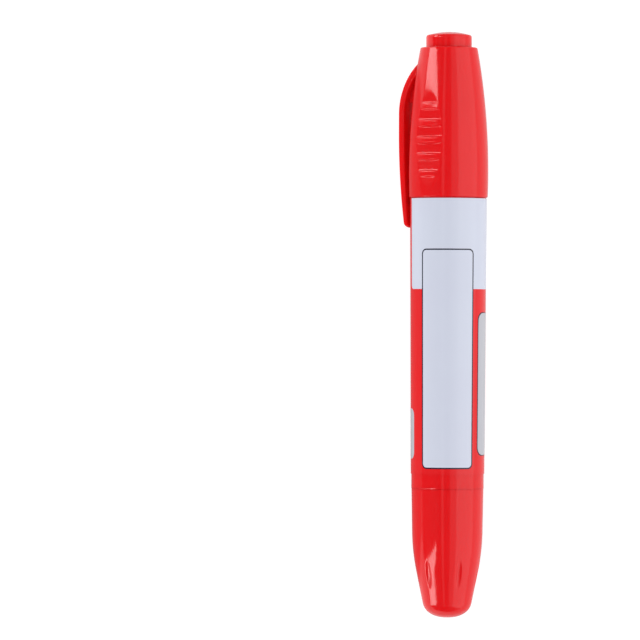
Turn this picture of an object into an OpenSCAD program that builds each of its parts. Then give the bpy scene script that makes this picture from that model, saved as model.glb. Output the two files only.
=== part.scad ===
// Whiteboard marker, lying on a table with its clip down to one side.
// Every piece is drawn about its own axis, with the tail end at z = 0 and the
// clip towards +x, and lie_down() then lays the piece along +X on the table.

/* [Tail] */
// Length of the tail piece that shows, from its end to the seam
tail_length = 30.9; // [25:0.1:38]
// Length over which the tail narrows towards its end
tail_taper_length = 15.9; // [12:0.1:20]
// How much narrower the tapered stretch gets towards the end
tail_taper = 3.2; // [2:0.1:4]
// How much narrower the straight stretch gets towards the taper
tail_draft = 0.26; // [0:0.01:0.5]
// Radius that blends the straight stretch into the taper
tail_blend_r = 50; // [20:1:60]
// Height of the rounded end
tail_dome_h = 3.6; // [3:0.1:5]
// Squareness of the rounded end, where 2 is an ellipse
tail_dome_power = 2.4; // [2:0.1:3]
// Wall of the tail piece
tail_wall = 1.4; // [1:0.1:1.8]
// Length of the spigot that plugs into the barrel
spigot_length = 10; // [6:0.1:14]
// Wall of the spigot
spigot_wall = 0.65; // [0.5:0.05:0.9]
// Number of finger dimples around the taper
dimple_count = 6; // [3:1:8]
// Distance from the tail end to the middle of the dimples
dimple_place = 10.6; // [9:0.1:12]
// Length of a dimple
dimple_length = 6.4; // [4:0.1:8]
// Width of a dimple
dimple_width = 1.3; // [0.8:0.1:2]
// Depth of a dimple
dimple_depth = 0.25; // [0.1:0.05:0.4]
// Number of fins inside the tail that stop the ink reservoir
fin_count = 4; // [3:1:6]
// Thickness of a fin
fin_t = 1; // [0.8:0.1:1.5]

/* [Barrel] */
// Length of barrel that shows between the tail and the cap
barrel_length = 69.45; // [55:0.05:85]
// Radius of the barrel at the tail seam
barrel_r_rear = 8.66; // [7:0.01:10.5]
// Growth of the barrel's radius from the seam to the front shoulder
barrel_draft = 0.37; // [0:0.01:0.8]
// Length of the parallel land beside the seam
land_length = 3.5; // [2:0.1:6]
// Wall of the barrel at the tail seam
barrel_wall = 1.06; // [0.9:0.01:1.3]
// Length of the neck that the cap slides over
neck_length = 5.65; // [4:0.05:9]
// Step from the front shoulder down to the neck
neck_step = 1.08; // [0.9:0.01:1.3]
// Wall of the neck
neck_wall = 0.85; // [0.7:0.05:1]
// Length of the narrow front bore behind the shoulder
front_bore_back = 3.35; // [2:0.05:6]
// Height of the click bead around the neck
bead_h = 0.05; // [0.02:0.01:0.06]
// Length of the click bead
bead_length = 0.8; // [0.5:0.1:1.2]
// Distance from the shoulder to the middle of the click bead
bead_place = 2.9; // [1.5:0.1:3.2]
// Number of ribs in the barrel that centre the reservoir
guide_count = 6; // [3:1:8]
// Thickness of a guide rib
guide_t = 0.8; // [0.6:0.1:1.2]

/* [Label film] */
// Thickness of the printed film around the barrel
film_t = 0.12; // [0.05:0.01:0.2]
// Bare barrel left between the film and the shoulder
film_margin = 0.15; // [0.1:0.05:0.5]

/* [Cap] */
// Length of the cap shell from its lip to its top shoulder
cap_length = 35.9; // [30:0.1:43]
// How far the widest ring of the cap stands out past the film
cap_overhang = 0.35; // [0.2:0.01:0.8]
// Distance from the lip to the widest ring of the cap
crown_place = 6.15; // [4:0.05:9]
// Wall between the liner's seat and the top shoulder's edge
cap_top_wall = 0.83; // [0.7:0.01:1.2]
// Thickness of the end wall at the top
cap_end_wall = 1.6; // [1.2:0.1:2]
// Length of the parallel bore behind the lip
cap_bore_length = 8.15; // [7:0.05:12]
// Length of the liner's seat below the end wall
liner_seat_length = 6.6; // [4:0.1:9]
// Radius of the rounded lip
lip_round = 0.45; // [0.2:0.05:0.6]
// Radius of the rounded top shoulder
shoulder_round = 0.25; // [0.1:0.05:0.5]

/* [Grip scoops] */
// Distance from the lip to the middle of each scoop
scoop_place = 13.9; // [12:0.1:16]
// Length of each scoop along the cap
scoop_length = 23; // [18:0.5:25]
// Depth of each scoop at its middle
scoop_depth = 0.68; // [0.3:0.01:0.8]
// Number of ribs across each scoop
rib_count = 5; // [3:1:6]
// Distance from one rib to the next
rib_pitch = 3.95; // [3:0.05:4.5]
// Height of a rib along the cap
rib_width = 1.55; // [1:0.05:2]

/* [Clip] */
// Angle of the clip below the horizontal
clip_angle = 33; // [0:1:45]
// Width of the clip
clip_width = 7; // [5:0.1:8]
// Thickness of the clip
clip_t = 1.6; // [1.2:0.1:1.8]
// Distance of the clip's crest outside the widest ring of the cap
clip_stand = 2.6; // [2.2:0.05:3.5]
// Radius of the bend from the crest to the root
clip_bend_r = 16; // [13:0.5:18]
// Distance from the top shoulder down to the middle of that bend
clip_bend_place = 15.75; // [14:0.05:17]
// Length of the level stretch at the crest
clip_level = 4.5; // [2:0.1:6]
// Length of the clip past the lip of the cap
clip_past_lip = 7.15; // [4:0.05:9]
// Fall of the outer face from the crest to the tip
clip_fall = 1.66; // [1:0.01:2]
// Radius of the tip's corners, seen from outside
clip_tip_round = 2.5; // [1:0.1:3]
// Radius of the tip's edge, seen from the side
clip_nose_round = 0.75; // [0.3:0.05:0.9]
// Width of the web that joins the clip to the cap
web_width = 3.2; // [2:0.1:4]
// Length of the web along the cap
web_length = 8.6; // [6:0.1:10]

/* [Top plug] */
// Height of the plug above the top shoulder
plug_height = 3.75; // [3:0.05:5]
// Width of the shoulder left around the plug
shoulder_width = 1.35; // [1:0.05:1.6]
// Rise of the plug's domed face
plug_dome = 1; // [0.5:0.1:1.4]
// Radius of the plug's stem
plug_stem_r = 4.4; // [3.5:0.1:4.8]
// Height of the snap ridge around the stem
plug_ridge = 0.3; // [0.1:0.05:0.4]

/* [Nib end] */
// Radius of the seal collar that the liner closes over
seal_r = 5; // [4.2:0.05:6]
// Length of the seal collar
seal_length = 5.8; // [4:0.1:8]
// Thickness of the holder's flange on the neck
flange_t = 1.2; // [0.8:0.1:1.6]
// Length of the holder inside the barrel and neck
holder_depth = 9.8; // [8:0.1:12]
// Length of the cone in front of the seal collar
cone_length = 8; // [6:0.1:10]
// Wall of the holder around the nib
nose_wall = 0.9; // [0.7:0.05:1.2]
// Radius of the nib
nib_r = 2.5; // [2:0.05:3]
// Length of nib that shows in front of the holder
nib_reach = 6; // [4:0.1:7]
// Length of the nib's bullet tip
nib_tip = 3.4; // [2:0.1:4]
// Length of the nib's tail inside the reservoir
nib_stab = 5; // [3:0.1:8]
// Wall of the liner
liner_wall = 0.9; // [0.7:0.05:1.1]
// Length of seal collar that the liner overlaps
liner_overlap = 3.5; // [2:0.1:4]

/* [Ink reservoir] */
// Thickness of the film around the reservoir's fibre core
wrap_t = 0.23; // [0.1:0.01:0.3]
// Length of core left bare at each end of the wrap
wrap_margin = 0.3; // [0.1:0.1:1]

/* [Clearances] */
// Radial gap between the cap and the neck, and the tail and the barrel
slide_gap = 0.08; // [0.05:0.01:0.1]
// Radial gap between the liner and the seal collar
seal_gap = 0.05; // [0.03:0.01:0.1]
// Gap between pieces that stay pressed together
seat_gap = 0.02; // [0.01:0.01:0.05]
// Gap at the faces where the cap and the tail stop
stop_gap = 0.05; // [0.02:0.01:0.1]
// Gap between the reservoir and what holds it
loose_gap = 0.07; // [0.05:0.01:0.2]
// Gap between the clip's tip and the film
clip_gap = 0.3; // [0.2:0.05:0.5]

/* [Hidden] */
$fn = 96;
cut = 1;                    // how far a cutting shape runs past what it cuts

red = [0.86, 0.07, 0.09];
white = [0.82, 0.84, 0.89];
natural = [0.93, 0.92, 0.88];

// stations along the axis
seam = tail_length;
lip = seam + barrel_length;
shoulder = lip + cap_length;
plug_top = shoulder + plug_height;
barrel_front = lip - stop_gap;
neck_end = barrel_front + neck_length;
front_bore_start = lip - front_bore_back;
land_end = seam + land_length;
film_end = barrel_front - film_margin;
spigot_end = seam + spigot_length;
cap_ceiling = shoulder - cap_end_wall;
flange_front = neck_end + seat_gap + flange_t;
seal_end = flange_front + seal_length;
nose_end = seal_end + cone_length;
nib_end = nose_end + nib_reach;
holder_rear = neck_end - holder_depth;
reservoir_front = holder_rear - seat_gap;
reservoir_rear = tail_taper_length + fin_t + seat_gap;
liner_mouth = seal_end - liner_overlap;
liner_top = cap_ceiling - seat_gap - plug_ridge * 2 - stop_gap;
clip_tip = lip - clip_past_lip;
bend_mid = shoulder - clip_bend_place;
level_start = bend_mid - clip_level;

// radii, each one from the piece that it fits
barrel_r_front = barrel_r_rear + barrel_draft;
bore_r = barrel_r_rear - barrel_wall;
film_r = barrel_r_front + seat_gap + film_t;
neck_r = barrel_r_front - neck_step;
neck_bore_r = neck_r - neck_wall;
spigot_r = bore_r - slide_gap / 2;
spigot_bore_r = spigot_r - spigot_wall;
wrap_r = spigot_bore_r - loose_gap;
core_r = wrap_r - wrap_t - seat_gap;
tail_r = barrel_r_rear - stop_gap;
tail_bend_r = tail_r - tail_draft;
cap_bore_r = neck_r + slide_gap;
cap_crown_r = film_r + cap_overhang;
liner_r = seal_r + seal_gap + liner_wall;
liner_seat_r = liner_r + seat_gap;
cap_top_r = liner_seat_r + cap_top_wall;
plug_r = cap_top_r - shoulder_width;
nose_r = nib_r + seat_gap + nose_wall;
clip_reach = cap_crown_r + clip_stand;
clip_in_r = film_r + clip_gap;

// where the axis lies, so that the marker rests on z = 0 centred on the origin
clip_down = clip_reach * sin(clip_angle) + clip_width / 2 * cos(clip_angle);
clip_out = clip_reach * cos(clip_angle) + clip_width / 2 * sin(clip_angle);
axis_z = max(cap_crown_r, clip_down);
axis_y = -(clip_out - cap_crown_r) / 2;

function unit(v) = v / norm(v);

// Radius of a circle from a half chord and its rise
function bow_r(half_chord, rise) = (half_chord * half_chord + rise * rise) / (2 * rise);

// Points of an arc about a centre, in [radius, station]
function arc(centre, r, from, to, n) =
    [for (i = [0:n]) let (a = from + (to - from) * i / n) centre + r * [cos(a), sin(a)]];

// The corner a-b-c rounded to radius r
function rounded(a, b, c, r, n = 6) =
    let (p = unit(a - b), q = unit(c - b), half = acos(p * q) / 2,
         centre = b + unit(p + q) * r / sin(half),
         first = b + p * r / tan(half) - centre, last = b + q * r / tan(half) - centre,
         start = atan2(first.y, first.x), swing = atan2(last.y, last.x) - start,
         turn = swing > 180 ? swing - 360 : swing < -180 ? swing + 360 : swing)
    arc(centre, r, start, start + turn, n);

// Radius of the cap's bowed outside at a station
cap_bow = bow_r(shoulder - lip - crown_place, cap_crown_r - cap_top_r);
function cap_surface(u) = cap_crown_r - cap_bow + sqrt(pow(cap_bow, 2) - pow(u - lip - crown_place, 2));

// Radius of the bare barrel in front of its land
function barrel_surface(u) = barrel_r_rear + barrel_draft * (u - land_end) / (barrel_front - land_end);

// Radius of the tail's taper, and of its rounded end
function taper_surface(u) = tail_bend_r - tail_taper * (1 - u / tail_taper_length);
function dome_surface(u) =
    taper_surface(u) * pow(1 - pow(1 - u / tail_dome_h, tail_dome_power), 1 / tail_dome_power);

// Lays a piece down along +X with the clip at its angle
module lie_down()
    translate([-plug_top / 2, axis_y, axis_z]) rotate([0, 90, 0]) rotate([0, 0, 90 - clip_angle])
        children();

// A round hole or rod between two stations
module rod(r, from, to) translate([0, 0, from]) cylinder(r = r, h = to - from);

// A flat shape drawn in [radius, station], as thick as given, centred on the clip's plane
module plate(t) rotate([90, 0, 0]) linear_extrude(height = t, center = true) children();

// ---- cap ----

module cap_outside() {
    n = 16;
    bow = [for (i = [1:n - 1]) let (u = lip + lip_round + (shoulder - shoulder_round - lip - lip_round) * i / n)
        [cap_surface(u), u]];
    edge = [cap_surface(lip), lip];
    crest = [cap_surface(shoulder), shoulder];
    rotate_extrude() polygon(concat([[0, lip]], rounded([0, lip], edge, bow[0], lip_round), bow,
        rounded(bow[n - 2], crest, [0, shoulder], shoulder_round), [[0, shoulder]]));
}

module cap_inside() {
    seat_start = cap_ceiling - liner_seat_length;
    rod(cap_bore_r, lip - cut, lip + cap_bore_length);
    translate([0, 0, lip + cap_bore_length])
        cylinder(r1 = cap_bore_r, r2 = liner_seat_r, h = seat_start - lip - cap_bore_length);
    rod(liner_seat_r, seat_start, cap_ceiling);
    rod(plug_stem_r + seat_gap, cap_ceiling - cut, shoulder + cut);
    // groove for the click bead
    groove = lip - stop_gap + bead_place;
    rod(cap_bore_r + bead_h, groove - bead_length, groove + bead_length);
}

// One hollow for the fingers, with its ribs left standing, on the side of angle a
module grip_scoop(a) {
    mid = lip + scoop_place;
    n = 12;
    outside = cap_crown_r + cut;
    hollow = [for (i = [-n / 2:n / 2]) let (share = i / (n / 2), u = mid + share * scoop_length / 2)
        [cap_surface(u) - scoop_depth * (1 - share * share), u]];
    rotate([0, 0, a]) difference() {
        plate(cap_crown_r * 2)
            polygon(concat([[outside, hollow[0].y]], hollow, [[outside, hollow[n].y]]));
        for (i = [0:rib_count - 1])
            translate([0, -outside, mid + (i - (rib_count - 1) / 2) * rib_pitch - rib_width / 2])
                cube([outside + cut, outside * 2, rib_width]);
    }
}

// Side view of the clip
module clip_side() {
    bend = [clip_reach - clip_bend_r, bend_mid];
    root = asin((shoulder - cap_end_wall * 2 - bend_mid) / clip_bend_r);
    long_r = bow_r(level_start - clip_tip, clip_fall);
    nose_out = [clip_reach - clip_fall, clip_tip];
    nose_in = [clip_in_r, clip_tip];
    fall = asin((level_start - clip_tip) / long_r);
    long = arc([clip_reach - long_r, level_start], long_r, 0, -fall * 0.9, 8);
    level_in = [clip_reach - clip_t, level_start];
    polygon(concat(arc(bend, clip_bend_r, root, 0, 10), long,
        rounded(long[8], nose_out, nose_in, clip_nose_round / 2),
        rounded(nose_out, nose_in, level_in, clip_nose_round / 2),
        [level_in], arc(bend, clip_bend_r - clip_t, 0, root, 10)));
}

// The clip's outline seen from outside, drawn in [across, station]
module clip_front() {
    flat = clip_width - clip_tip_round * 2;
    straight = clip_tip + clip_tip_round;
    translate([-clip_width / 2, straight]) square([clip_width, shoulder - straight]);
    translate([-flat / 2, clip_tip]) square([flat, clip_tip_round * 2]);
    for (side = [-1, 1]) translate([side * flat / 2, straight]) circle(r = clip_tip_round);
}

module clip() {
    intersection() {
        plate(clip_width + cut) clip_side();
        rotate([90, 0, 90]) linear_extrude(height = clip_reach + cut) clip_front();
    }
    // the web under the bend
    bend = [clip_reach - clip_bend_r, bend_mid];
    web_r = clip_bend_r - clip_t / 2;
    foot = liner_seat_r + cap_top_wall / 2;
    high = acos((foot - bend.x) / web_r);
    low = asin(sin(high) - web_length / web_r);
    edge = arc(bend, web_r, low, high, 8);
    plate(web_width) polygon(concat([[foot, edge[0].y]], edge));
}

module cap_shell() color(red) lie_down() difference() {
    union() {
        cap_outside();
        clip();
    }
    cap_inside();
    for (a = [90, -90]) grip_scoop(a);
}

module cap_top_plug() color(red) lie_down() {
    dome_r = bow_r(plug_r, plug_dome);
    dome = [for (i = [0:8]) let (r = plug_r * (1 - pow(1 - i / 8.5, 2)))
        [r, plug_top - dome_r + sqrt(pow(dome_r, 2) - r * r)]];
    rotate_extrude() polygon(concat(dome, [[plug_r, plug_top - plug_dome - 0.2],
        [plug_r, shoulder + seat_gap], [0, shoulder + seat_gap]]));
    rod(plug_stem_r, cap_ceiling - plug_ridge, shoulder + cut);
    // snap ridge under the end wall, sloped on its leading side
    ridge_top = cap_ceiling - seat_gap;
    rotate_extrude() polygon([[0, ridge_top], [plug_stem_r + plug_ridge, ridge_top],
        [plug_stem_r + plug_ridge, ridge_top - plug_ridge], [plug_stem_r, ridge_top - plug_ridge * 2],
        [0, ridge_top - plug_ridge * 2]]);
}

module cap_seal_liner() color(natural) lie_down() difference() {
    union() {
        rod(liner_r, liner_top - liner_seat_length + plug_ridge * 3, liner_top);
        rod(liner_r - seal_gap * 2, liner_mouth, liner_top);
    }
    rod(seal_r + seal_gap, liner_mouth - cut, liner_top - liner_wall);
}

// ---- barrel ----

module barrel() color(red) lie_down() {
    difference() {
        rotate_extrude() polygon([[0, seam], [barrel_r_rear, seam], [barrel_r_rear, land_end],
            [barrel_r_front, barrel_front], [neck_r, barrel_front], [neck_r, neck_end], [0, neck_end]]);
        rod(bore_r, seam - cut, front_bore_start);
        rod(neck_bore_r, front_bore_start - cut, neck_end + cut);
    }
    // click bead
    bead = barrel_front + bead_place;
    difference() {
        rod(neck_r + bead_h, bead - bead_length / 2, bead + bead_length / 2);
        rod(neck_bore_r + neck_wall / 2, bead - bead_length, bead + bead_length);
    }
    // ribs that centre the reservoir
    guide_in = wrap_r + loose_gap;
    for (i = [0:guide_count - 1]) rotate([0, 0, i * 360 / guide_count])
        translate([guide_in, -guide_t / 2, spigot_end + fin_t])
            cube([bore_r + barrel_wall / 2 - guide_in, guide_t, reservoir_front - spigot_end - fin_t]);
}

module label_film() color(white) lie_down()
    rotate_extrude() polygon([for (p = [[land_end, 0], [film_end, 0], [film_end, film_t], [land_end, film_t]])
        [barrel_surface(p[0]) + seat_gap + p[1], p[0]]]);

// ---- nib end ----

module nib_holder() color(natural) lie_down() difference() {
    body_r = neck_bore_r - seat_gap;
    flange_back = neck_end + seat_gap;
    rotate_extrude() polygon([[0, holder_rear], [body_r, holder_rear], [body_r, flange_back],
        [neck_r, flange_back], [neck_r, flange_front], [seal_r, flange_front], [seal_r, seal_end],
        [nose_r, nose_end], [0, nose_end]]);
    rod(nib_r + seat_gap, holder_rear - cut, nose_end + cut);
    // hollow around the nib's tube
    difference() {
        rod(body_r - nose_wall, holder_rear - cut, neck_end - nose_wall);
        rod(nose_r, holder_rear - cut * 2, neck_end);
    }
}

module nib() color([0.16, 0.02, 0.03]) lie_down() {
    tip_start = nib_end - nib_tip;
    tip = [for (i = [0:10]) let (a = i * 9) [nib_r * pow(cos(a), 0.9), tip_start + nib_tip * sin(a)]];
    rotate_extrude() polygon(concat([[0, reservoir_front - nib_stab], [nib_r, reservoir_front - nib_stab]],
        tip));
}

// ---- ink reservoir ----

module reservoir_core() color([0.62, 0.05, 0.08]) lie_down() difference() {
    rod(core_r, reservoir_rear, reservoir_front);
    rod(nib_r + seat_gap, reservoir_front - nib_stab - seat_gap, reservoir_front + cut);
}

module reservoir_wrap() color([0.85, 0.85, 0.85, 0.5]) lie_down() difference() {
    rod(wrap_r, reservoir_rear + wrap_margin, reservoir_front - wrap_margin);
    rod(wrap_r - wrap_t, reservoir_rear, reservoir_front);
}

// ---- tail ----

module tail_outside() {
    dome = [for (i = [0:9]) let (u = tail_dome_h * (1 - cos(i * 10))) [dome_surface(u), u]];
    bend = [tail_bend_r, tail_taper_length];
    rotate_extrude() polygon(concat(dome, rounded(dome[9], bend, [tail_r, seam], tail_blend_r, 8),
        [[tail_r, seam - stop_gap], [0, seam - stop_gap]]));
    rod(spigot_r, seam - cut, spigot_end);
}

module tail_inside() {
    floor_u = tail_wall;
    top_u = reservoir_rear - seat_gap;
    rod(spigot_bore_r, top_u, spigot_end + cut);
    rotate_extrude() polygon([[0, floor_u], [taper_surface(tail_dome_h) - tail_wall - cut, floor_u],
        [taper_surface(tail_dome_h) - tail_wall, tail_dome_h], [spigot_bore_r, top_u], [0, top_u]]);
}

module dimples() {
    lean = atan(tail_taper / tail_taper_length);
    tool_r = bow_r(dimple_width / 2, dimple_depth);
    reach = dimple_length / 2 - dimple_width / 2;
    for (i = [0:dimple_count - 1]) rotate([0, 0, (i + 0.5) * 360 / dimple_count])
        translate([taper_surface(dimple_place) + tool_r - dimple_depth, 0, dimple_place])
            rotate([0, lean, 0]) {
                cylinder(r = tool_r, h = reach * 2, center = true);
                for (side = [-1, 1]) translate([0, 0, side * reach]) sphere(r = tool_r);
            }
}

module tail_cup() color(red) lie_down() {
    difference() {
        tail_outside();
        tail_inside();
        dimples();
    }
    // fins that stop the reservoir
    fin_in = nib_r;
    fin_wall = taper_surface(tail_dome_h) - tail_wall / 2;
    for (i = [0:fin_count - 1]) rotate([0, 0, i * 360 / fin_count])
        plate(fin_t) polygon([[fin_in, tail_wall / 2], [fin_wall - tail_wall, tail_wall / 2],
            [fin_wall, tail_dome_h], [spigot_bore_r + tail_wall / 4, reservoir_rear - seat_gap - fin_t],
            [spigot_bore_r, reservoir_rear - seat_gap], [fin_in, reservoir_rear - seat_gap]]);
}

cap_shell();
cap_top_plug();
cap_seal_liner();
barrel();
label_film();
nib_holder();
nib();
reservoir_core();
reservoir_wrap();
tail_cup();
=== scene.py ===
"""A red whiteboard marker lying on a table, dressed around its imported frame.

The marker lies along +X with its cap end at the +X side. Stations are measured along the axis from
the tail end, and radii from the axis, both in millimetres until Axis turns them into row places.
"""

from __future__ import annotations

import logging
import math
from collections.abc import Callable, Iterable
from dataclasses import dataclass
from enum import Enum

import bpy  # noqa: E402
from mathutils import Matrix, Vector  # noqa: E402


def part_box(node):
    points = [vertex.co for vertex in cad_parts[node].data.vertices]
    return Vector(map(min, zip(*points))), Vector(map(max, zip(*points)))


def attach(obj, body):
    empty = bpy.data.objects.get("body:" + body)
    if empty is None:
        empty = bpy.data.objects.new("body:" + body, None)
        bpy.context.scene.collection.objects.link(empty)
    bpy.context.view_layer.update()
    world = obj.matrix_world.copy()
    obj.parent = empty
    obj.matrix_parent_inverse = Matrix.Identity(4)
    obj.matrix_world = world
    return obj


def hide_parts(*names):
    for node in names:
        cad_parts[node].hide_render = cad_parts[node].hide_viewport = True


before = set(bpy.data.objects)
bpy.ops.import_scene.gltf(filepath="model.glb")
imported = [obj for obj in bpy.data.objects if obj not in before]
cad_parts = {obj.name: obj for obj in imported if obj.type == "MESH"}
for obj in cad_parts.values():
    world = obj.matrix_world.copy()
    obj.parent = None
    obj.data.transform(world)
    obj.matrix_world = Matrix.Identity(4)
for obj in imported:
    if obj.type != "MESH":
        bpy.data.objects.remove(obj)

MM = 0.001
Colour = tuple[float, float, float]
Profile = list[tuple[float, float]]

log = logging.getLogger("marker")


# ---------------------------------------------------------------------------------------------
# Places
# ---------------------------------------------------------------------------------------------


@dataclass(frozen=True)
class Axis:
    """The marker's axis in the row frame. Angles are from straight up, towards -Y."""

    tail_x: float
    y: float
    z: float

    @classmethod
    def of_frame(cls) -> Axis:
        """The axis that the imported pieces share."""
        low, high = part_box("label_film")
        return cls(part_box("tail_cup")[0].x, (low.y + high.y) / 2, (low.z + high.z) / 2)

    def outward(self, angle: float) -> Vector:
        """The direction away from the axis at an angle in degrees."""
        turn = math.radians(angle)
        return Vector((0, -math.sin(turn), math.cos(turn)))

    def point(self, station: float, radius: float, angle: float = 0, across: float = 0) -> Vector:
        """A place in the row frame.

        Args:
            station: Distance from the tail end, in millimetres.
            radius: Distance from the axis, in millimetres.
            angle: Angle from straight up, in degrees.
            across: Distance sideways from that direction, in millimetres.

        Returns:
            The place, in metres.
        """
        middle = Vector((self.tail_x + station * MM, self.y, self.z))
        return middle + self.outward(angle) * radius * MM + self.outward(angle + 90) * across * MM

    def station(self, place: Vector) -> float:
        """How far along the axis a place in the row frame is, in millimetres."""
        return (place.x - self.tail_x) / MM

    def radius(self, place: Vector) -> float:
        """How far from the axis a place in the row frame is, in millimetres."""
        return math.hypot(place.y - self.y, place.z - self.z) / MM

    def angle(self, place: Vector) -> float:
        """The angle of a place in the row frame, in degrees from -180 to 180."""
        return math.degrees(math.atan2(self.y - place.y, place.z - self.z))


@dataclass(frozen=True)
class Stations:
    """Where the pieces meet along the axis, in millimetres from the tail end."""

    seam: float
    film_start: float
    film_end: float
    lip: float
    neck_end: float
    shoulder: float
    top: float
    nib_end: float

    @classmethod
    def of_frame(cls, axis: Axis) -> Stations:
        """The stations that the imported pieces' boxes give."""
        film_low, film_high = (axis.station(corner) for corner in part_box("label_film"))
        barrel_low, barrel_high = (axis.station(corner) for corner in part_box("barrel"))
        return cls(
            seam=barrel_low,
            film_start=film_low,
            film_end=film_high,
            lip=film_high + 0.2,
            neck_end=barrel_high,
            shoulder=axis.station(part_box("cap_shell")[1]),
            top=axis.station(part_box("cap_top_plug")[1]),
            nib_end=axis.station(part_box("nib")[1]),
        )


def bow_radius(half_chord: float, rise: float) -> float:
    """The radius of a circle from half a chord and the rise over it."""
    return (half_chord**2 + rise**2) / (2 * rise)


def spread(first: float, last: float, spacing: float) -> list[float]:
    """Evenly spaced values from first to last, both included, about spacing apart."""
    count = max(1, round(abs(last - first) / spacing))
    return [first + (last - first) * i / count for i in range(count + 1)]


def smooth_step(value: float) -> float:
    """Eases from 0 to 1 as value goes from 0 to 1."""
    held = min(max(value, 0.0), 1.0)
    return held * held * (3 - 2 * held)


def rounded(path: Profile, radii: dict[int, float], segments: int = 6) -> Profile:
    """Rounds corners of a path.

    Args:
        path: Points as (station, radius).
        radii: The radius of each rounded corner, by its place in the path.
        segments: How many edges each corner gets.

    Returns:
        The path with an arc in place of each such corner.
    """
    made: Profile = []
    for place, corner in enumerate(path):
        if place not in radii:
            made.append(corner)
            continue
        here = Vector(corner)
        back = (Vector(path[place - 1]) - here).normalized()
        on = (Vector(path[(place + 1) % len(path)]) - here).normalized()
        half = back.angle(on) / 2
        centre = here + (back + on).normalized() * radii[place] / math.sin(half)
        first = here + back * radii[place] / math.tan(half) - centre
        last = here + on * radii[place] / math.tan(half) - centre
        turn = first.angle_signed(last)
        for i in range(segments + 1):
            spot = centre + Matrix.Rotation(-turn * i / segments, 2) @ first
            made.append((spot.x, spot.y))
    return made


# ---------------------------------------------------------------------------------------------
# Modelling steps
# ---------------------------------------------------------------------------------------------


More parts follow.
